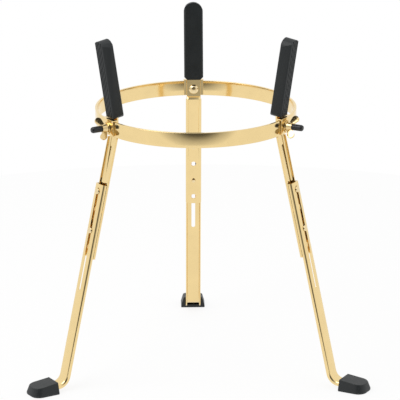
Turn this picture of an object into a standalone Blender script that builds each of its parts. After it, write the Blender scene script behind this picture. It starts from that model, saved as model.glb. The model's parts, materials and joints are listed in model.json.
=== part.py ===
# Conga stand: a flat steel hoop on three height-adjustable legs, with three rubber pads above it.
# Each station is drawn with +X pointing out from the hoop's axis and then turned to its place.
import math

import bmesh
import bpy
from mathutils import Matrix, Vector

for old in list(bpy.data.objects):
    bpy.data.objects.remove(old)

# Where the three stations stand round the hoop, and how far each wing nut happens to be turned
STATIONS = {"back": 90, "left": 210, "right": 330}
WING_TURN = {"back": 20, "left": 38, "right": -38}
GAP = 0.0003

# Hoop: a flat band
HOOP_RADIUS = 0.165
HOOP_THICKNESS = 0.004
HOOP_HEIGHT = 0.0249
HOOP_BOTTOM = 0.4186
HOOP_TOP = HOOP_BOTTOM + HOOP_HEIGHT
HOOP_INNER = HOOP_RADIUS - HOOP_THICKNESS
HUB_HEIGHT = HOOP_BOTTOM + HOOP_HEIGHT / 2

# Saddle: a sheet bent over the hoop's top edge
SADDLE_SHEET = 0.002
SADDLE_WIDTH = 0.0336
SADDLE_RISE = 0.0012
SADDLE_INSIDE = HOOP_INNER - GAP - SADDLE_SHEET
SADDLE_OUTSIDE = HOOP_RADIUS + GAP + SADDLE_SHEET

# Hub bolt, with the washer, wing nut and cap on its outer end
BOLT_RADIUS = 0.004
BOLT_HOLE_RADIUS = 0.0044
BOLT_HEAD_RADIUS = 0.008
BOLT_HEAD_HEIGHT = 0.0048
BOLT_LENGTH = 0.0306
WASHER_RADIUS = 0.010
WASHER_THICKNESS = 0.0016
NUT_RADIUS = 0.0075
NUT_TOP_RADIUS = 0.0062
NUT_HEIGHT = 0.0085
NUT_BORE_RADIUS = 0.0043
WING_THICKNESS = 0.0034
WING_CENTRE = 0.0140
WING_HALF_LENGTH = 0.0055
WING_HALF_WIDTH = 0.0060
WING_OFFSET = 0.0095
WING_ROOT = 0.0050
CAP_RADIUS = 0.00515
CAP_LENGTH = 0.0187

# Legs: two pressed channels, lip to lip, leaning out
LEG_LEAN = math.radians(13)
LEG_SHEET = 0.002
UPPER_WIDTH = 0.0265
UPPER_DEPTH = 0.0065
UPPER_CORNER = 0.0055
UPPER_LENGTH = 0.1868
UPPER_NECK = 0.015
KINK_HEIGHT = 0.398
LOWER_WIDTH = 0.0255
LOWER_DEPTH = 0.0068
LOWER_CORNER = 0.0045
LOWER_START = 0.0637
TAB_TOP = 0.0100
TAB_SHEET = 0.0019
SPARE_HOLE_RADIUS = 0.0045
SPARE_HOLES = (0.1093, 0.1734)

# Clamp bolts and the slot that they run in
CLAMP_RADIUS = 0.0028
CLAMP_HOLE_RADIUS = 0.0032
CLAMP_HEAD_RADIUS = 0.00525
CLAMP_HEAD_HEIGHT = 0.0032
CLAMP_TIP = 0.003
CLAMP_PLACES = {"upper": 0.0760, "lower": 0.1417}
WELD_NUT_RADIUS = 0.0056
WELD_NUT_HEIGHT = 0.0045
SLOT_WIDTH = 0.0064
SLOT_START = 0.0698
SLOT_LENGTH = 0.1725

# Foot: the lower leg turns out into a rubber boot
FOOT_BEND_RADIUS = 0.015
FOOT_TOP = 0.0128
FOOT_REACH = 0.304
BOOT_START = 0.274
BOOT_END = 0.3187
BOOT_WIDTH = 0.0414
BOOT_TAPER = 0.0052
BOOT_EDGE = 0.003
BOOT_CORNER = 0.014
BOOT_HEIGHT = 0.019
BOOT_SLOPE = 0.11

# Rubber pad and the arm inside it
ARM_WIDTH = 0.023
ARM_SHEET = 0.003
ARM_IN_PAD = 0.105
ARM_DROP = 0.0002
PAD_LEAN = math.radians(9)
PAD_CLEAR = 0.0022
PAD_LENGTH = 0.130
PAD_INSIDE = 0.0105
PAD_OUTSIDE = 0.0085
PAD_HALF_WIDTH = 0.016
PAD_OUTER_HALF_WIDTH = 0.01275
PAD_CORNER = 0.003
PAD_CHAMFER = 0.005
FLUTE_RADIUS = 0.0014
FLUTE_PITCH = 0.005
FLUTES = 4

# Places that follow from the sizes above
TAB_OUTSIDE = math.sqrt(SADDLE_INSIDE ** 2 - (UPPER_WIDTH / 2) ** 2) - GAP / 2
KINK = Vector((TAB_OUTSIDE - LEG_SHEET, 0, KINK_HEIGHT))
LEG_DOWN = Vector((math.sin(LEG_LEAN), 0, -math.cos(LEG_LEAN)))
LEG_OUT = Vector((math.cos(LEG_LEAN), 0, math.sin(LEG_LEAN)))
LEG_BOX_DEPTH = UPPER_DEPTH + GAP + LOWER_DEPTH
ARM_MIDDLE = KINK.x - GAP - ARM_SHEET / 2
ARM_INSIDE = ARM_MIDDLE - ARM_SHEET / 2
PAD_UP = Vector((math.sin(PAD_LEAN), 0, math.cos(PAD_LEAN)))
PAD_OUT = Vector((math.cos(PAD_LEAN), 0, -math.sin(PAD_LEAN)))
PAD_BASE = Vector((ARM_MIDDLE, 0, HOOP_TOP + SADDLE_SHEET + GAP + PAD_CLEAR))
HUB = Vector((0, 0, HUB_HEIGHT))
WASHER_START = SADDLE_OUTSIDE + GAP
NUT_START = WASHER_START + WASHER_THICKNESS + GAP
CAP_START = NUT_START + NUT_HEIGHT + GAP
CROSS = Vector((0, 1, 0))
FRONT_REACH = (BOOT_END - BOOT_CORNER) / 2 + (BOOT_WIDTH / 2 - BOOT_CORNER) * math.sqrt(0.75) + BOOT_CORNER


def loft(rings):
    """Closed solid through rings of points, with flat ends."""
    shape = bmesh.new()
    loops = [[shape.verts.new(point) for point in ring] for ring in rings]
    for first, second in zip(loops, loops[1:]):
        for index in range(len(first)):
            after = (index + 1) % len(first)
            shape.faces.new((first[index], first[after], second[after], second[index]))
    shape.faces.new(loops[0])
    shape.faces.new(loops[-1])
    bmesh.ops.recalc_face_normals(shape, faces=shape.faces)
    return shape


def sweep(profile, places):
    """Solid whose (across, height) profile runs through places of (point, height direction)."""
    return loft([[point + CROSS * across + rise * height for across, height in profile]
                 for point, rise in places])


def turned(profile, steps, closed=False, upright=False):
    """Solid turned about +X, or about +Z if upright, from (along, radius) points."""
    shape = bmesh.new()
    if upright:
        verts = [shape.verts.new((radius, 0, along)) for along, radius in profile]
    else:
        verts = [shape.verts.new((along, 0, radius)) for along, radius in profile]
    edges = [shape.edges.new(pair) for pair in zip(verts, verts[1:])]
    if closed:
        edges.append(shape.edges.new((verts[-1], verts[0])))
    axis = (0, 0, 1) if upright else (1, 0, 0)
    bmesh.ops.spin(shape, geom=verts + edges, cent=(0, 0, 0), axis=axis, angle=math.tau,
                   steps=steps, use_merge=True)
    bmesh.ops.remove_doubles(shape, verts=shape.verts, dist=1e-6)
    bmesh.ops.recalc_face_normals(shape, faces=shape.faces)
    return shape


def rod(start, end, radius, sides=16):
    """Plain round bar between two points."""
    line = end - start
    turn = line.to_track_quat("Z", "Y").to_matrix().to_4x4()
    shape = bmesh.new()
    bmesh.ops.create_cone(shape, cap_ends=True, segments=sides, radius1=radius, radius2=radius,
                          depth=line.length,
                          matrix=Matrix.Translation((start + end) / 2) @ turn)
    return shape


def block(low, high):
    """Plain box between two corners."""
    shape = bmesh.new()
    size = Vector(high) - Vector(low)
    bmesh.ops.create_cube(shape, size=1, matrix=Matrix.Translation((Vector(low) + Vector(high)) / 2)
                          @ Matrix.Diagonal(size).to_4x4())
    return shape


def arc(centre, radius, start, end, steps):
    """Points on an arc in the profile plane, angles in degrees."""
    turns = [math.radians(start + (end - start) * step / steps) for step in range(steps + 1)]
    return [(centre[0] + radius * math.cos(turn), centre[1] + radius * math.sin(turn)) for turn in turns]


def as_object(shape, name):
    """Object for a bmesh, which is freed."""
    mesh = bpy.data.meshes.new(name)
    shape.to_mesh(mesh)
    shape.free()
    item = bpy.data.objects.new(name, mesh)
    bpy.context.scene.collection.objects.link(item)
    return item


def combined(body, tools, operation="DIFFERENCE"):
    """Mesh left after each tool is cut from the body, joined to it or kept in common with it."""
    item = as_object(body, "body")
    helpers = [as_object(tool, "tool") for tool in tools]
    for helper in helpers:
        step = item.modifiers.new("step", "BOOLEAN")
        step.operation = operation
        step.solver = "EXACT"
        step.object = helper
    graph = bpy.context.evaluated_depsgraph_get()
    result = bmesh.new()
    result.from_mesh(item.evaluated_get(graph).to_mesh())
    for done in [item] + helpers:
        bpy.data.objects.remove(done)
    return result


def finish_material(name, colour, metallic, roughness):
    material = bpy.data.materials.new(name)
    material.use_nodes = True
    shader = material.node_tree.nodes["Principled BSDF"]
    shader.inputs["Base Color"].default_value = (*colour, 1)
    shader.inputs["Metallic"].default_value = metallic
    shader.inputs["Roughness"].default_value = roughness
    return material


def place(shape, name, material, angle, origin=Vector((0, 0, 0))):
    """Object of a station's piece, with its origin at a point of the station."""
    bmesh.ops.translate(shape, verts=shape.verts, vec=-origin)
    item = as_object(shape, name)
    item.data.materials.append(material)
    item.data.shade_smooth()
    item.data.set_sharp_from_angle(angle=math.radians(35))
    turn = Matrix.Rotation(math.radians(angle), 4, "Z")
    item.location = turn @ origin
    item.rotation_euler = (0, 0, math.radians(angle))
    item.parent = stand
    return item


def channel_profile(width, depth, corner):
    """Channel of one sheet thickness with its web on the line of height 0."""
    half = width / 2
    inner = corner - LEG_SHEET
    outside = [(half, depth)] + arc((half - corner, corner), corner, 0, -90, 4)
    outside += arc((corner - half, corner), corner, -90, -180, 4) + [(-half, depth)]
    inside = [(LEG_SHEET - half, depth)] + arc((corner - half, corner), inner, -180, -90, 3)
    inside += arc((half - corner, corner), inner, -90, 0, 3) + [(half - LEG_SHEET, depth)]
    return outside + inside


def leg_point(down, out):
    return KINK + LEG_DOWN * down + LEG_OUT * out


def hub_rod(start, end, radius):
    return rod(HUB + Vector((start, 0, 0)), HUB + Vector((end, 0, 0)), radius, 20)


def hoop():
    band = turned([(HOOP_BOTTOM, HOOP_INNER), (HOOP_BOTTOM, HOOP_RADIUS), (HOOP_TOP, HOOP_RADIUS),
                   (HOOP_TOP, HOOP_INNER)], 96, closed=True, upright=True)
    holes = []
    for angle in STATIONS.values():
        hole = hub_rod(HOOP_INNER / 2, HOOP_RADIUS * 2, BOLT_HOLE_RADIUS)
        hole.transform(Matrix.Rotation(math.radians(angle), 4, "Z"))
        holes.append(hole)
    return combined(band, holes)


def saddle():
    low = HOOP_BOTTOM + SADDLE_RISE
    high = HOOP_TOP + GAP
    section = [(SADDLE_INSIDE, low), (SADDLE_INSIDE, high + SADDLE_SHEET),
               (SADDLE_OUTSIDE, high + SADDLE_SHEET), (SADDLE_OUTSIDE, low),
               (HOOP_RADIUS + GAP, low), (HOOP_RADIUS + GAP, high), (HOOP_INNER - GAP, high),
               (HOOP_INNER - GAP, low)]
    half_angle = math.asin(SADDLE_WIDTH / 2 / HOOP_RADIUS)
    steps = 6
    rings = []
    for step in range(steps + 1):
        turn = Matrix.Rotation(half_angle * (2 * step / steps - 1), 3, "Z")
        rings.append([turn @ Vector((radius, 0, height)) for radius, height in section])
    return combined(loft(rings), [hub_rod(HOOP_INNER / 2, HOOP_RADIUS * 2, BOLT_HOLE_RADIUS)])


def hub_bolt():
    head = ARM_INSIDE - GAP
    shape = turned([(head - BOLT_HEAD_HEIGHT, 0), (head - 0.94 * BOLT_HEAD_HEIGHT, 0.4 * BOLT_HEAD_RADIUS),
                    (head - 0.6 * BOLT_HEAD_HEIGHT, 0.8 * BOLT_HEAD_RADIUS),
                    (head - 0.2 * BOLT_HEAD_HEIGHT, BOLT_HEAD_RADIUS), (head, BOLT_HEAD_RADIUS),
                    (head, BOLT_RADIUS), (head + BOLT_LENGTH, BOLT_RADIUS), (head + BOLT_LENGTH, 0)], 20)
    bmesh.ops.translate(shape, verts=shape.verts, vec=HUB)
    return shape


def washer():
    shape = turned([(WASHER_START, BOLT_HOLE_RADIUS), (WASHER_START, WASHER_RADIUS),
                    (WASHER_START + WASHER_THICKNESS, WASHER_RADIUS),
                    (WASHER_START + WASHER_THICKNESS, BOLT_HOLE_RADIUS)], 24, closed=True)
    bmesh.ops.translate(shape, verts=shape.verts, vec=HUB)
    return shape


def wing_nut(turn):
    """Nut with two rounded wings that flare away from the washer."""
    body = turned([(0, 0), (0, NUT_RADIUS), (NUT_HEIGHT, NUT_TOP_RADIUS), (NUT_HEIGHT, 0)], 20)
    wings = []
    for side in (1, -1):
        wing = bmesh.new()
        outline = arc((WING_OFFSET, side * WING_CENTRE), 1, 0, 330, 11)
        for across in (-WING_THICKNESS / 2, WING_THICKNESS / 2):
            for along, out in outline:
                reach = (along - WING_OFFSET) * WING_HALF_WIDTH + WING_OFFSET
                rise = (out - side * WING_CENTRE) * WING_HALF_LENGTH + side * WING_CENTRE
                wing.verts.new((reach, across, rise))
            for along in (0.15 * NUT_HEIGHT, 0.9 * NUT_HEIGHT):
                wing.verts.new((along, across, side * WING_ROOT))
        bmesh.ops.convex_hull(wing, input=wing.verts)
        wings.append(wing)
    shape = combined(body, wings, "UNION")
    shape = combined(shape, [rod(Vector((-NUT_HEIGHT, 0, 0)), Vector((NUT_HEIGHT * 3, 0, 0)), NUT_BORE_RADIUS, 20)])
    shape.transform(Matrix.Rotation(math.radians(turn), 4, "X"))
    bmesh.ops.translate(shape, verts=shape.verts, vec=HUB + Vector((NUT_START, 0, 0)))
    return shape


def bolt_cap():
    bolt_end = ARM_INSIDE - GAP + BOLT_LENGTH + GAP
    end = CAP_START + CAP_LENGTH
    shape = turned([(end, 0), (end, 0.5 * CAP_RADIUS), (end - 0.0008, 0.8 * CAP_RADIUS),
                    (end - 0.003, CAP_RADIUS), (CAP_START, CAP_RADIUS), (CAP_START, NUT_BORE_RADIUS),
                    (bolt_end, NUT_BORE_RADIUS), (bolt_end, 0)], 20)
    bmesh.ops.translate(shape, verts=shape.verts, vec=HUB)
    return shape


def upper_leg():
    """Channel that opens outward, with a flat tab at its top for the hub bolt."""
    outward = Vector((1, 0, 0))
    top = Vector((KINK.x, 0, HUB_HEIGHT + TAB_TOP))
    bend = (LEG_OUT + outward).normalized() / math.cos(LEG_LEAN / 2)
    body = sweep(channel_profile(UPPER_WIDTH, UPPER_DEPTH, UPPER_CORNER),
                 [(top, outward), (KINK, bend), (leg_point(UPPER_LENGTH, 0), LEG_OUT)])
    lips = block((KINK.x + TAB_SHEET, -UPPER_WIDTH, KINK.z + UPPER_NECK),
                 (KINK.x + 3 * UPPER_DEPTH, UPPER_WIDTH, top.z + UPPER_DEPTH))
    holes = [hub_rod(HOOP_INNER / 2, HOOP_RADIUS * 2, BOLT_HOLE_RADIUS)]
    for down in CLAMP_PLACES.values():
        holes.append(rod(leg_point(down, -LEG_SHEET), leg_point(down, 2 * LEG_SHEET), CLAMP_HOLE_RADIUS))
    for down in SPARE_HOLES:
        holes.append(rod(leg_point(down, -LEG_SHEET), leg_point(down, 2 * LEG_SHEET), SPARE_HOLE_RADIUS))
    return combined(body, [lips] + holes)


def slot_cutter():
    """Long slot with round ends through the lower leg's web."""
    half = SLOT_WIDTH / 2
    outline = arc((0, SLOT_START + half), half, 180, 360, 8)
    outline += arc((0, SLOT_START + SLOT_LENGTH - half), half, 0, 180, 8)
    rings = []
    for out in (LEG_BOX_DEPTH - 2 * LEG_SHEET, LEG_BOX_DEPTH + LEG_SHEET):
        rings.append([leg_point(down, out) + CROSS * across for across, down in outline])
    return loft(rings)


def lower_leg():
    """Slotted channel that opens inward and turns out flat above the floor."""
    start = leg_point(LOWER_START, LEG_BOX_DEPTH)
    centre_height = FOOT_TOP + FOOT_BEND_RADIUS
    bend_start_height = centre_height - FOOT_BEND_RADIUS * LEG_OUT.z
    run = (start.z - bend_start_height) / math.cos(LEG_LEAN)
    bend_start = start + LEG_DOWN * run
    centre = bend_start + LEG_OUT * FOOT_BEND_RADIUS
    places = [(start, -LEG_OUT), (bend_start, -LEG_OUT)]
    steps = 6
    for step in range(1, steps + 1):
        turn = LEG_LEAN + (math.pi / 2 - LEG_LEAN) * step / steps
        rise = Vector((-math.cos(turn), 0, -math.sin(turn)))
        places.append((centre + rise * FOOT_BEND_RADIUS, rise))
    places.append((Vector((FOOT_REACH, 0, FOOT_TOP)), Vector((0, 0, -1))))
    body = sweep(channel_profile(LOWER_WIDTH, LOWER_DEPTH, LOWER_CORNER), places)
    return combined(body, [slot_cutter()])


def along_leg(shape, down):
    """Moves a piece drawn about +X to its place on the leg, pointing out of it."""
    shape.transform(Matrix.Translation(leg_point(down, 0)) @ Matrix.Rotation(-LEG_LEAN, 4, "Y"))
    return shape


def clamp_bolt(down):
    """Domed bolt through the slot, with its tip just past the upper leg's inner face."""
    seat = LEG_BOX_DEPTH + GAP
    bolt = turned([(seat + CLAMP_HEAD_HEIGHT, 0), (seat + 0.9 * CLAMP_HEAD_HEIGHT, 0.5 * CLAMP_HEAD_RADIUS),
                   (seat + 0.5 * CLAMP_HEAD_HEIGHT, 0.88 * CLAMP_HEAD_RADIUS),
                   (seat, CLAMP_HEAD_RADIUS), (seat, CLAMP_RADIUS),
                   (-CLAMP_TIP, CLAMP_RADIUS), (-CLAMP_TIP, 0)], 16)
    return along_leg(bolt, down)


def weld_nut(down):
    """Hexagon nut on the hidden side of the upper leg's web."""
    low = LEG_SHEET + GAP
    hexagon = rod(Vector((low, 0, 0)), Vector((low + WELD_NUT_HEIGHT, 0, 0)), WELD_NUT_RADIUS, 6)
    bore = rod(Vector((-LEG_SHEET, 0, 0)), Vector((LEG_BOX_DEPTH, 0, 0)), CLAMP_HOLE_RADIUS)
    return along_leg(combined(hexagon, [bore]), down)


def rubber_foot():
    """Boot with a vertical sole edge, tapered sides, a sloped top and a pocket for the leg."""
    def outline(inset, height):
        half = BOOT_WIDTH / 2 - inset
        end = BOOT_END - inset
        corner = BOOT_CORNER
        plan = [(BOOT_START, -half)] + arc((end - corner, corner - half), corner, -90, 0, 6)
        plan += arc((end - corner, half - corner), corner, 0, 90, 6) + [(BOOT_START, half)]
        return [Vector((along, across, height)) for along, across in plan]

    shape = loft([outline(0, 0), outline(0, BOOT_EDGE), outline(BOOT_TAPER, BOOT_HEIGHT + BOOT_EDGE)])
    top = bmesh.ops.bisect_plane(shape, geom=shape.verts[:] + shape.edges[:] + shape.faces[:],
                                 plane_co=(BOOT_START, 0, BOOT_HEIGHT), plane_no=(BOOT_SLOPE, 0, 1),
                                 clear_outer=True)
    rim = [item for item in top["geom_cut"] if isinstance(item, bmesh.types.BMEdge)]
    bmesh.ops.edgeloop_fill(shape, edges=rim)
    bmesh.ops.recalc_face_normals(shape, faces=shape.faces)
    half = LOWER_WIDTH / 2 + GAP
    pocket = block((BOOT_START - BOOT_CORNER, -half, FOOT_TOP - LOWER_DEPTH - GAP),
                   (FOOT_REACH + GAP, half, FOOT_TOP + GAP))
    return combined(shape, [pocket])


def pad_arm():
    """Strip bolted at its foot and bent to the pad's lean."""
    half = ARM_WIDTH / 2
    strip = [(-half, -ARM_SHEET / 2), (half, -ARM_SHEET / 2), (half, ARM_SHEET / 2), (-half, ARM_SHEET / 2)]
    outward = Vector((1, 0, 0))
    bend = (outward + PAD_OUT).normalized() / math.cos(PAD_LEAN / 2)
    foot = Vector((ARM_MIDDLE, 0, HOOP_BOTTOM - ARM_DROP))
    body = sweep(strip, [(foot, outward), (PAD_BASE, bend), (PAD_BASE + PAD_UP * ARM_IN_PAD, PAD_OUT)])
    return combined(body, [hub_rod(HOOP_INNER / 2, HOOP_RADIUS * 2, BOLT_HOLE_RADIUS)])


def rubber_pad():
    """Leaning pad with a round top, chamfered foot, fluted outer face and a pocket for the arm."""
    section = arc((PAD_HALF_WIDTH - PAD_CORNER, PAD_CORNER - PAD_INSIDE), PAD_CORNER, -90, 0, 3)
    section += arc((PAD_OUTER_HALF_WIDTH - PAD_CORNER, PAD_OUTSIDE - PAD_CORNER), PAD_CORNER, 0, 90, 3)
    section += [(-across, out) for across, out in reversed(section)]
    body = sweep(section, [(PAD_BASE - PAD_UP * PAD_CHAMFER, PAD_OUT),
                           (PAD_BASE + PAD_UP * (PAD_LENGTH + PAD_CHAMFER), PAD_OUT)])
    front = [(PAD_CHAMFER - PAD_HALF_WIDTH, 0), (PAD_HALF_WIDTH - PAD_CHAMFER, 0), (PAD_HALF_WIDTH + GAP, PAD_CHAMFER)]
    front += arc((0, PAD_LENGTH - PAD_HALF_WIDTH), PAD_HALF_WIDTH + GAP, 0, 180, 14)
    front += [(-PAD_HALF_WIDTH - GAP, PAD_CHAMFER)]
    rings = []
    for out in (-2 * PAD_INSIDE, 2 * PAD_OUTSIDE):
        rings.append([PAD_BASE + PAD_UP * up + PAD_OUT * out + CROSS * across for across, up in front])
    body = combined(body, [loft(rings)], "INTERSECT")
    half = ARM_WIDTH / 2 + GAP
    reach = ARM_SHEET / 2 + GAP
    pocket = sweep([(-half, -reach), (half, -reach), (half, reach), (-half, reach)],
                   [(PAD_BASE - PAD_UP * PAD_CHAMFER, PAD_OUT), (PAD_BASE + PAD_UP * (ARM_IN_PAD + GAP), PAD_OUT)])
    flutes = []
    for index in range(FLUTES):
        across = CROSS * ((index - (FLUTES - 1) / 2) * FLUTE_PITCH) + PAD_OUT * PAD_OUTSIDE
        flutes.append(rod(PAD_BASE - PAD_UP * PAD_CHAMFER + across,
                          PAD_BASE + PAD_UP * (PAD_LENGTH + PAD_CHAMFER) + across, FLUTE_RADIUS, 6))
    return combined(body, [pocket] + flutes)


gold = finish_material("gold_plated_steel", (0.80, 0.60, 0.28), 1.0, 0.3)
zinc = finish_material("zinc_plated_steel", (0.72, 0.68, 0.58), 1.0, 0.35)
rubber = finish_material("black_rubber", (0.03, 0.033, 0.035), 0.0, 0.6)
plastic = finish_material("black_plastic", (0.02, 0.02, 0.022), 0.0, 0.4)

# The stand's origin is under the middle of its box, so the hoop's axis lies towards the front feet
stand = bpy.data.objects.new("stand", None)
stand.location.y = (FRONT_REACH - BOOT_END) / 2
bpy.context.scene.collection.objects.link(stand)

place(hoop(), "ring_hoop", gold, 0)
for side, angle in STATIONS.items():
    place(saddle(), "ring_saddle_" + side, gold, angle)
    place(upper_leg(), "upper_leg_" + side, gold, angle)
    leg = place(lower_leg(), "lower_leg_" + side, gold, angle, KINK)
    foot = place(rubber_foot(), "rubber_foot_" + side, rubber, 0, KINK)
    foot.parent = leg
    foot.location = (0, 0, 0)
    for level, down in CLAMP_PLACES.items():
        place(clamp_bolt(down), "clamp_bolt_" + level + "_" + side, zinc, angle)
        place(weld_nut(down), "weld_nut_" + level + "_" + side, zinc, angle)
    place(pad_arm(), "pad_arm_" + side, gold, angle)
    place(rubber_pad(), "rubber_pad_" + side, rubber, angle)
    place(hub_bolt(), "hub_bolt_" + side, zinc, angle)
    place(washer(), "hub_washer_" + side, zinc, angle)
    place(wing_nut(WING_TURN[side]), "wing_nut_" + side, gold, angle, HUB + Vector((NUT_START, 0, 0)))
    place(bolt_cap(), "bolt_cap_" + side, plastic, angle)
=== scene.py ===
import json
import math

import bmesh
import bpy
from mathutils import Matrix, Vector


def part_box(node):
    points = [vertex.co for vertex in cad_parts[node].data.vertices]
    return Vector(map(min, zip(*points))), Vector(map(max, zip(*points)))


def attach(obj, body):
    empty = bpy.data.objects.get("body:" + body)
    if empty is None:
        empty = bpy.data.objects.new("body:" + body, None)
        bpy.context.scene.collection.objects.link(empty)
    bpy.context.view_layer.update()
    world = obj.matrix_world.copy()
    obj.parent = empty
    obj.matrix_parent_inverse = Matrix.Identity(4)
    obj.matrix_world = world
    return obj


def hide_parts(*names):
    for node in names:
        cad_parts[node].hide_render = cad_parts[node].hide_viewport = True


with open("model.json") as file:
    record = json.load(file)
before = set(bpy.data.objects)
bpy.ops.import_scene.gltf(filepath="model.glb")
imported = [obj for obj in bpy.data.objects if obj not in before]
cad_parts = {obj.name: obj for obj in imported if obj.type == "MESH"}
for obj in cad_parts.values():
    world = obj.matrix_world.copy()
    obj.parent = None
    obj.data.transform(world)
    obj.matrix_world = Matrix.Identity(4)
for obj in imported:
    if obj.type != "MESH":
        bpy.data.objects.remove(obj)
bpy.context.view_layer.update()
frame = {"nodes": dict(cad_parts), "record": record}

# Studio floor: a pale disc under the stand that shows white to the lens and to the plating.
# It is still a matt floor for the lamp, so it keeps the stand's soft shadow.
FLOOR_RADIUS = 1.1
FLOOR_SEGMENTS = 96
FLOOR_COLOUR = (0.86, 0.86, 0.86, 1)
FLOOR_GLOW = 0.86
WHITE = (1, 1, 1, 1)

floor_shape = bmesh.new()
bmesh.ops.create_circle(floor_shape, cap_ends=True, segments=FLOOR_SEGMENTS, radius=FLOOR_RADIUS)
floor_mesh = bpy.data.meshes.new("pale_floor")
floor_shape.to_mesh(floor_mesh)
floor_shape.free()
floor = bpy.data.objects.new("pale_floor", floor_mesh)
bpy.context.scene.collection.objects.link(floor)

floor_finish = bpy.data.materials.new("pale_floor")
floor_finish.use_nodes = True
tree = floor_finish.node_tree
tree.nodes.clear()
rays = tree.nodes.new("ShaderNodeLightPath")
seen = tree.nodes.new("ShaderNodeMath")
seen.operation = "ADD"
seen.use_clamp = True
tree.links.new(rays.outputs["Is Camera Ray"], seen.inputs[0])
tree.links.new(rays.outputs["Is Glossy Ray"], seen.inputs[1])
share = tree.nodes.new("ShaderNodeMath")
share.operation = "MULTIPLY"
share.inputs[1].default_value = FLOOR_GLOW
tree.links.new(seen.outputs[0], share.inputs[0])
matt = tree.nodes.new("ShaderNodeBsdfDiffuse")
matt.inputs["Color"].default_value = FLOOR_COLOUR
glow = tree.nodes.new("ShaderNodeEmission")
glow.inputs["Color"].default_value = WHITE
blend = tree.nodes.new("ShaderNodeMixShader")
output = tree.nodes.new("ShaderNodeOutputMaterial")
tree.links.new(share.outputs[0], blend.inputs["Fac"])
tree.links.new(matt.outputs[0], blend.inputs[1])
tree.links.new(glow.outputs[0], blend.inputs[2])
tree.links.new(blend.outputs[0], output.inputs["Surface"])
floor_mesh.materials.append(floor_finish)

# Studio room: white all round, with a dark patch on the lens's side.
# The patch is what the polished plating mirrors in its dark edges. The lens itself sees plain white.
DARK_PATCH_DIRECTION = (0.0, -0.96, 0.28)
ROOM_BRIGHTNESS = 0.98
ROOM_ENDS_AT = 0.66
HALF_LIT_BRIGHTNESS = 0.55
HALF_LIT_AT = 0.83
DARK_PATCH_BRIGHTNESS = 0.10
DARK_PATCH_AT = 0.93

room = bpy.data.worlds.new("studio_room")
bpy.context.scene.world = room
room.use_nodes = True
tree = room.node_tree
tree.nodes.clear()
direction = tree.nodes.new("ShaderNodeTexCoord")
facing = tree.nodes.new("ShaderNodeVectorMath")
facing.operation = "DOT_PRODUCT"
facing.inputs[1].default_value = Vector(DARK_PATCH_DIRECTION).normalized()
tree.links.new(direction.outputs["Generated"], facing.inputs[0])
patch = tree.nodes.new("ShaderNodeValToRGB")
patch.color_ramp.elements.new((ROOM_ENDS_AT + DARK_PATCH_AT) / 2)
stops = ((ROOM_ENDS_AT, ROOM_BRIGHTNESS), (HALF_LIT_AT, HALF_LIT_BRIGHTNESS),
         (DARK_PATCH_AT, DARK_PATCH_BRIGHTNESS))
for element, (position, level) in zip(patch.color_ramp.elements, stops):
    element.position = position
    element.color = (level, level, level, 1)
tree.links.new(facing.outputs["Value"], patch.inputs["Fac"])
walls = tree.nodes.new("ShaderNodeBackground")
tree.links.new(patch.outputs["Color"], walls.inputs["Color"])
white = tree.nodes.new("ShaderNodeBackground")
white.inputs["Color"].default_value = WHITE
rays = tree.nodes.new("ShaderNodeLightPath")
blend = tree.nodes.new("ShaderNodeMixShader")
output = tree.nodes.new("ShaderNodeOutputWorld")
tree.links.new(rays.outputs["Is Camera Ray"], blend.inputs["Fac"])
tree.links.new(walls.outputs[0], blend.inputs[1])
tree.links.new(white.outputs[0], blend.inputs[2])
tree.links.new(blend.outputs[0], output.inputs["Surface"])

# Key lamp: one large softbox above the stand, to the left and on the lens's side.
# It draws the faint shadow on the floor and the soft light on the rubber.
KEY_POWER = 22
KEY_SIZE = 1.6
KEY_PLACE = (-1.2, -0.8, 2.4)
KEY_AIM = Vector((0, 0, 0.3))

key = bpy.data.lights.new("key_softbox", "AREA")
key.energy = KEY_POWER
key.size = KEY_SIZE
key_lamp = bpy.data.objects.new("key_softbox", key)
key_lamp.location = KEY_PLACE
key_lamp.rotation_euler = (KEY_AIM - key_lamp.location).to_track_quat("-Z", "Y").to_euler()
bpy.context.scene.collection.objects.link(key_lamp)

# Camera: a long lens nearly five metres away, looking down at the stand.
# The angles are the pitch below level, the bearing to the right, and a slight roll.
LENS = 274.5
SENSOR_WIDTH = 36
CAMERA_PLACE = Vector((-0.1098, -4.8984, 1.7570))
CAMERA_PITCH = math.radians(16.992)
CAMERA_BEARING = math.radians(1.380)
CAMERA_ROLL = math.radians(-0.169)

lens = bpy.data.cameras.new("camera")
lens.lens = LENS
lens.sensor_width = SENSOR_WIDTH
camera = bpy.data.objects.new("camera", lens)
camera.matrix_world = (Matrix.Translation(CAMERA_PLACE) @ Matrix.Rotation(-CAMERA_BEARING, 4, "Z")
                       @ Matrix.Rotation(math.pi / 2 - CAMERA_PITCH, 4, "X")
                       @ Matrix.Rotation(CAMERA_ROLL, 4, "Z"))
bpy.context.scene.collection.objects.link(camera)
bpy.context.scene.camera = camera
bpy.context.scene.view_settings.view_transform = "Standard"

# Hoop: a flat steel band rolled into a circle, with its edges eased, then plated gold and polished.
# The saddles hook over it, and the drum's shell passes through it.
HOOP_THICKNESS = 0.004
HOOP_EDGE = 0.0006
HOOP_EDGE_SEGMENTS = 3
HOOP_STEPS = 240
HOOP_CREASE = math.radians(35)
HOOP_MERGE = 1e-6
GOLD_COLOUR = (0.88, 0.675, 0.335)
GOLD_ROUGHNESS = 0.10
GOLD_WAVINESS = 0.10
CLOUD_SCALE = 45
CLOUD_DETAIL = 4
CLOUD_SHINE = (0.75, 1.3)
CLOUD_TINT = (0.93, 1.05)
WAVE_SCALE = 130
WAVE_DETAIL = 3
WAVE_HEIGHT = 0.0004


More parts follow.
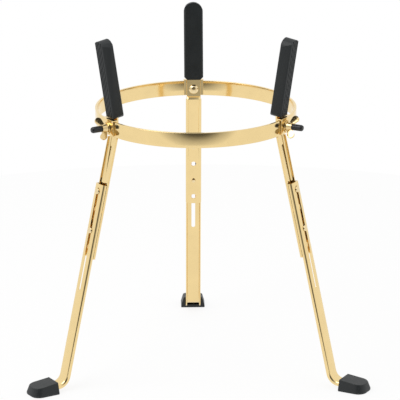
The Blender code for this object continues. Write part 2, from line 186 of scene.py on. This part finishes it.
def plating(name, colour, roughness, waviness):
    """Polished plating over steel: faint clouding of the shine and fine wavy pressing marks."""
    material = bpy.data.materials.new(name)
    material.use_nodes = True
    tree = material.node_tree
    shader = tree.nodes["Principled BSDF"]
    shader.inputs["Metallic"].default_value = 1
    place = tree.nodes.new("ShaderNodeTexCoord")
    clouds = tree.nodes.new("ShaderNodeTexNoise")
    clouds.inputs["Scale"].default_value = CLOUD_SCALE
    clouds.inputs["Detail"].default_value = CLOUD_DETAIL
    tree.links.new(place.outputs["Object"], clouds.inputs["Vector"])
    shine = tree.nodes.new("ShaderNodeMapRange")
    shine.inputs["To Min"].default_value = roughness * CLOUD_SHINE[0]
    shine.inputs["To Max"].default_value = roughness * CLOUD_SHINE[1]
    tree.links.new(clouds.outputs["Fac"], shine.inputs["Value"])
    tree.links.new(shine.outputs["Result"], shader.inputs["Roughness"])
    tint = tree.nodes.new("ShaderNodeMixRGB")
    tint.inputs["Color1"].default_value = (*[part * CLOUD_TINT[0] for part in colour], 1)
    tint.inputs["Color2"].default_value = (*[min(1, part * CLOUD_TINT[1]) for part in colour], 1)
    tree.links.new(clouds.outputs["Fac"], tint.inputs["Fac"])
    tree.links.new(tint.outputs["Color"], shader.inputs["Base Color"])
    waves = tree.nodes.new("ShaderNodeTexNoise")
    waves.inputs["Scale"].default_value = WAVE_SCALE
    waves.inputs["Detail"].default_value = WAVE_DETAIL
    tree.links.new(place.outputs["Object"], waves.inputs["Vector"])
    bump = tree.nodes.new("ShaderNodeBump")
    bump.inputs["Strength"].default_value = waviness
    bump.inputs["Distance"].default_value = WAVE_HEIGHT
    tree.links.new(waves.outputs["Fac"], bump.inputs["Height"])
    tree.links.new(bump.outputs["Normal"], shader.inputs["Normal"])
    return material


gold = plating("gold_plating", GOLD_COLOUR, GOLD_ROUGHNESS, GOLD_WAVINESS)

hoop_low, hoop_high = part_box("ring_hoop")
hoop_centre = Vector(((hoop_low[0] + hoop_high[0]) / 2, (hoop_low[1] + hoop_high[1]) / 2, 0))
hoop_radius = (hoop_high[0] - hoop_low[0]) / 2
band = [(hoop_radius - HOOP_THICKNESS, hoop_low[2]), (hoop_radius, hoop_low[2]),
        (hoop_radius, hoop_high[2]), (hoop_radius - HOOP_THICKNESS, hoop_high[2])]
hoop_shape = bmesh.new()
corners = [hoop_shape.verts.new((radius, 0, height)) for radius, height in band]
for index, corner in enumerate(corners):
    hoop_shape.edges.new((corner, corners[(index + 1) % len(corners)]))
bmesh.ops.bevel(hoop_shape, geom=corners, offset=HOOP_EDGE, segments=HOOP_EDGE_SEGMENTS, profile=0.5,
                affect="VERTICES", material=-1)
bmesh.ops.spin(hoop_shape, geom=hoop_shape.verts[:] + hoop_shape.edges[:], cent=(0, 0, 0), axis=(0, 0, 1),
               angle=math.tau, steps=HOOP_STEPS, use_merge=True)
bmesh.ops.remove_doubles(hoop_shape, verts=hoop_shape.verts, dist=HOOP_MERGE)
bmesh.ops.recalc_face_normals(hoop_shape, faces=hoop_shape.faces)
bmesh.ops.translate(hoop_shape, verts=hoop_shape.verts, vec=hoop_centre)
hoop_mesh = bpy.data.meshes.new("hoop")
hoop_shape.to_mesh(hoop_mesh)
hoop_shape.free()
hoop_mesh.materials.append(gold)
hoop_mesh.shade_smooth()
hoop_mesh.set_sharp_from_angle(angle=HOOP_CREASE)
hoop = bpy.data.objects.new("hoop", hoop_mesh)
bpy.context.scene.collection.objects.link(hoop)
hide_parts("ring_hoop")
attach(hoop, "frame")

# Saddles: brackets pressed from steel sheet that hook over the hoop, one at each leg.
# They are plated with the hoop, and have the eased edges of blanked sheet.
SIDES = ("back", "left", "right")
SADDLE_EDGE = 0.0004
NODE_MERGE = 1e-5
FLAT_WITHIN = math.radians(0.5)
EDGE_FROM = math.radians(30)

body_of = {}
for body, held in frame["record"]["behaviour"]["bodies"].items():
    for node in held:
        body_of[node] = body


def eased(node, name, finish, edge, segments=2, reshape=None):
    """A piece in the shape of a CAD node, merged, with rounded edges and a finish."""
    shape = bmesh.new()
    shape.from_mesh(frame["nodes"][node].data)
    bmesh.ops.remove_doubles(shape, verts=shape.verts, dist=NODE_MERGE)
    bmesh.ops.dissolve_limit(shape, angle_limit=FLAT_WITHIN, verts=shape.verts, edges=shape.edges)
    if reshape:
        reshape(shape)
    mesh = bpy.data.meshes.new(name)
    shape.to_mesh(mesh)
    shape.free()
    mesh.materials.clear()
    mesh.materials.append(finish)
    mesh.shade_smooth()
    mesh.set_sharp_from_angle(angle=EDGE_FROM)
    piece = bpy.data.objects.new(name, mesh)
    bpy.context.scene.collection.objects.link(piece)
    round_over = piece.modifiers.new("eased_edges", "BEVEL")
    round_over.width = edge
    round_over.segments = segments
    round_over.limit_method = "ANGLE"
    round_over.angle_limit = EDGE_FROM
    round_over.harden_normals = True
    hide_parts(node)
    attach(piece, body_of[node])


for side in SIDES:
    eased("ring_saddle_" + side, "saddle_" + side, gold, SADDLE_EDGE)

# Upper legs: channels pressed from strip, with spare holes, bolted to the hoop by a flat tab.
# They run straight to just under the hoop, where the web is pressed out to that tab.
CHANNEL_EDGE = 0.0003
STATION_ANGLES = {"back": 90, "left": 210, "right": 330}
LEG_LEAN = math.radians(13)
NECK_LOW = 0.3981
NECK_TOP = 0.4133
TAB_LOW = 0.4181
TAB_MARGIN = 0.0001


def straight_neck(side):
    """Leans the upright neck of an upper leg so that it follows the rest of the leg."""
    angle = math.radians(STATION_ANGLES[side])
    outward = Vector((math.cos(angle), math.sin(angle), 0))

    def reshape(shape):
        for height in (NECK_TOP, TAB_LOW):
            bmesh.ops.bisect_plane(shape, geom=shape.verts[:] + shape.edges[:] + shape.faces[:],
                                   plane_co=(0, 0, height), plane_no=(0, 0, 1))
        for vert in shape.verts:
            if NECK_LOW < vert.co.z < TAB_LOW - TAB_MARGIN:
                vert.co -= outward * (vert.co.z - NECK_LOW) * math.tan(LEG_LEAN)

    return reshape


for side in SIDES:
    eased("upper_leg_" + side, "upper_channel_" + side, gold, CHANNEL_EDGE,
          reshape=straight_neck(side))

# Lower legs: slotted channels that lie lip to lip with the upper ones and turn outward at the floor.
# They are the only pressed pieces that move, on their clamp bolts.
for side in SIDES:
    eased("lower_leg_" + side, "lower_channel_" + side, gold, CHANNEL_EDGE)

# Pad arms: plated steel strips, bolted at the hub, that run up inside the rubber pads.
ARM_EDGE = 0.0004
for side in SIDES:
    eased("pad_arm_" + side, "arm_" + side, gold, ARM_EDGE)

# Fasteners: hub bolts with their washers, domed clamp bolts, and the weld nuts that these turn into.
# All are turned or cold-headed steel with a paler, slightly duller plating than the sheet.
FASTENER_COLOUR = (0.84, 0.68, 0.40)
FASTENER_ROUGHNESS = 0.12
FASTENER_WAVINESS = 0.15
FASTENER_EDGE = 0.0003

bright = plating("bright_fastener_plating", FASTENER_COLOUR, FASTENER_ROUGHNESS, FASTENER_WAVINESS)
for side in SIDES:
    eased("hub_bolt_" + side, "hub_bolt_finish_" + side, bright, FASTENER_EDGE)
    eased("hub_washer_" + side, "washer_" + side, bright, FASTENER_EDGE)
    for level in ("upper", "lower"):
        place_name = level + "_" + side
        eased("clamp_bolt_" + place_name, "clamp_bolt_finish_" + place_name, bright,
              FASTENER_EDGE)
        eased("weld_nut_" + place_name, "weld_nut_finish_" + place_name, bright,
              FASTENER_EDGE)

# Wing nuts: cast, with softer edges and a rougher skin under the plating.
# Each turns on its hub bolt and clamps arm, leg, saddle and hoop.
WING_COLOUR = (0.80, 0.60, 0.30)
WING_ROUGHNESS = 0.12
WING_WAVINESS = 0.30
WING_EDGE = 0.0009

cast = plating("cast_wing_plating", WING_COLOUR, WING_ROUGHNESS, WING_WAVINESS)
for side in SIDES:
    eased("wing_nut_" + side, "wing_nut_finish_" + side, cast, WING_EDGE, segments=3)

# Grip pads: black rubber moulded over the arms, fluted where they bear on the drum.
RUBBER_COLOUR = (0.006, 0.009, 0.010)
RUBBER_ROUGHNESS = 0.50
RUBBER_GRAIN = 900
RUBBER_GRAIN_DEPTH = 0.30
PAD_EDGE = 0.0010
MOULD_CLOUD_SCALE = 60
MOULD_CLOUD_DETAIL = 5
MOULD_TINT = (0.8, 1.3)
MOULD_SHINE = (0.85, 1.15)
GRAIN_DETAIL = 3
GRAIN_HEIGHT = 0.0003


def moulded(name, colour, roughness, grain, depth):
    """Moulded black rubber or plastic: fine mould grain, with duller and glossier clouds."""
    material = bpy.data.materials.new(name)
    material.use_nodes = True
    tree = material.node_tree
    shader = tree.nodes["Principled BSDF"]
    place = tree.nodes.new("ShaderNodeTexCoord")
    clouds = tree.nodes.new("ShaderNodeTexNoise")
    clouds.inputs["Scale"].default_value = MOULD_CLOUD_SCALE
    clouds.inputs["Detail"].default_value = MOULD_CLOUD_DETAIL
    tree.links.new(place.outputs["Object"], clouds.inputs["Vector"])
    tint = tree.nodes.new("ShaderNodeMixRGB")
    tint.inputs["Color1"].default_value = (*[part * MOULD_TINT[0] for part in colour], 1)
    tint.inputs["Color2"].default_value = (*[part * MOULD_TINT[1] for part in colour], 1)
    tree.links.new(clouds.outputs["Fac"], tint.inputs["Fac"])
    tree.links.new(tint.outputs["Color"], shader.inputs["Base Color"])
    shine = tree.nodes.new("ShaderNodeMapRange")
    shine.inputs["To Min"].default_value = roughness * MOULD_SHINE[0]
    shine.inputs["To Max"].default_value = roughness * MOULD_SHINE[1]
    tree.links.new(clouds.outputs["Fac"], shine.inputs["Value"])
    tree.links.new(shine.outputs["Result"], shader.inputs["Roughness"])
    fine = tree.nodes.new("ShaderNodeTexNoise")
    fine.inputs["Scale"].default_value = grain
    fine.inputs["Detail"].default_value = GRAIN_DETAIL
    tree.links.new(place.outputs["Object"], fine.inputs["Vector"])
    bump = tree.nodes.new("ShaderNodeBump")
    bump.inputs["Strength"].default_value = depth
    bump.inputs["Distance"].default_value = GRAIN_HEIGHT
    tree.links.new(fine.outputs["Fac"], bump.inputs["Height"])
    tree.links.new(bump.outputs["Normal"], shader.inputs["Normal"])
    return material


rubber = moulded("black_moulded_rubber", RUBBER_COLOUR, RUBBER_ROUGHNESS, RUBBER_GRAIN, RUBBER_GRAIN_DEPTH)
for side in SIDES:
    eased("rubber_pad_" + side, "grip_pad_" + side, rubber, PAD_EDGE, segments=3)

# Boots: the same rubber, moulded as wedges and pushed over the turned-out ends of the lower legs.
BOOT_EDGE = 0.0009
for side in SIDES:
    eased("rubber_foot_" + side, "boot_" + side, rubber, BOOT_EDGE, segments=3)

# Bolt caps: soft black plastic pushed over the ends of the hub bolts, past the wing nuts.
PLASTIC_COLOUR = (0.007, 0.008, 0.009)
PLASTIC_ROUGHNESS = 0.35
PLASTIC_GRAIN = 600
PLASTIC_GRAIN_DEPTH = 0.15
CAP_EDGE = 0.0006

plastic = moulded("black_cap_plastic", PLASTIC_COLOUR, PLASTIC_ROUGHNESS, PLASTIC_GRAIN, PLASTIC_GRAIN_DEPTH)
for side in SIDES:
    eased("bolt_cap_" + side, "cap_" + side, plastic, CAP_EDGE, segments=3)
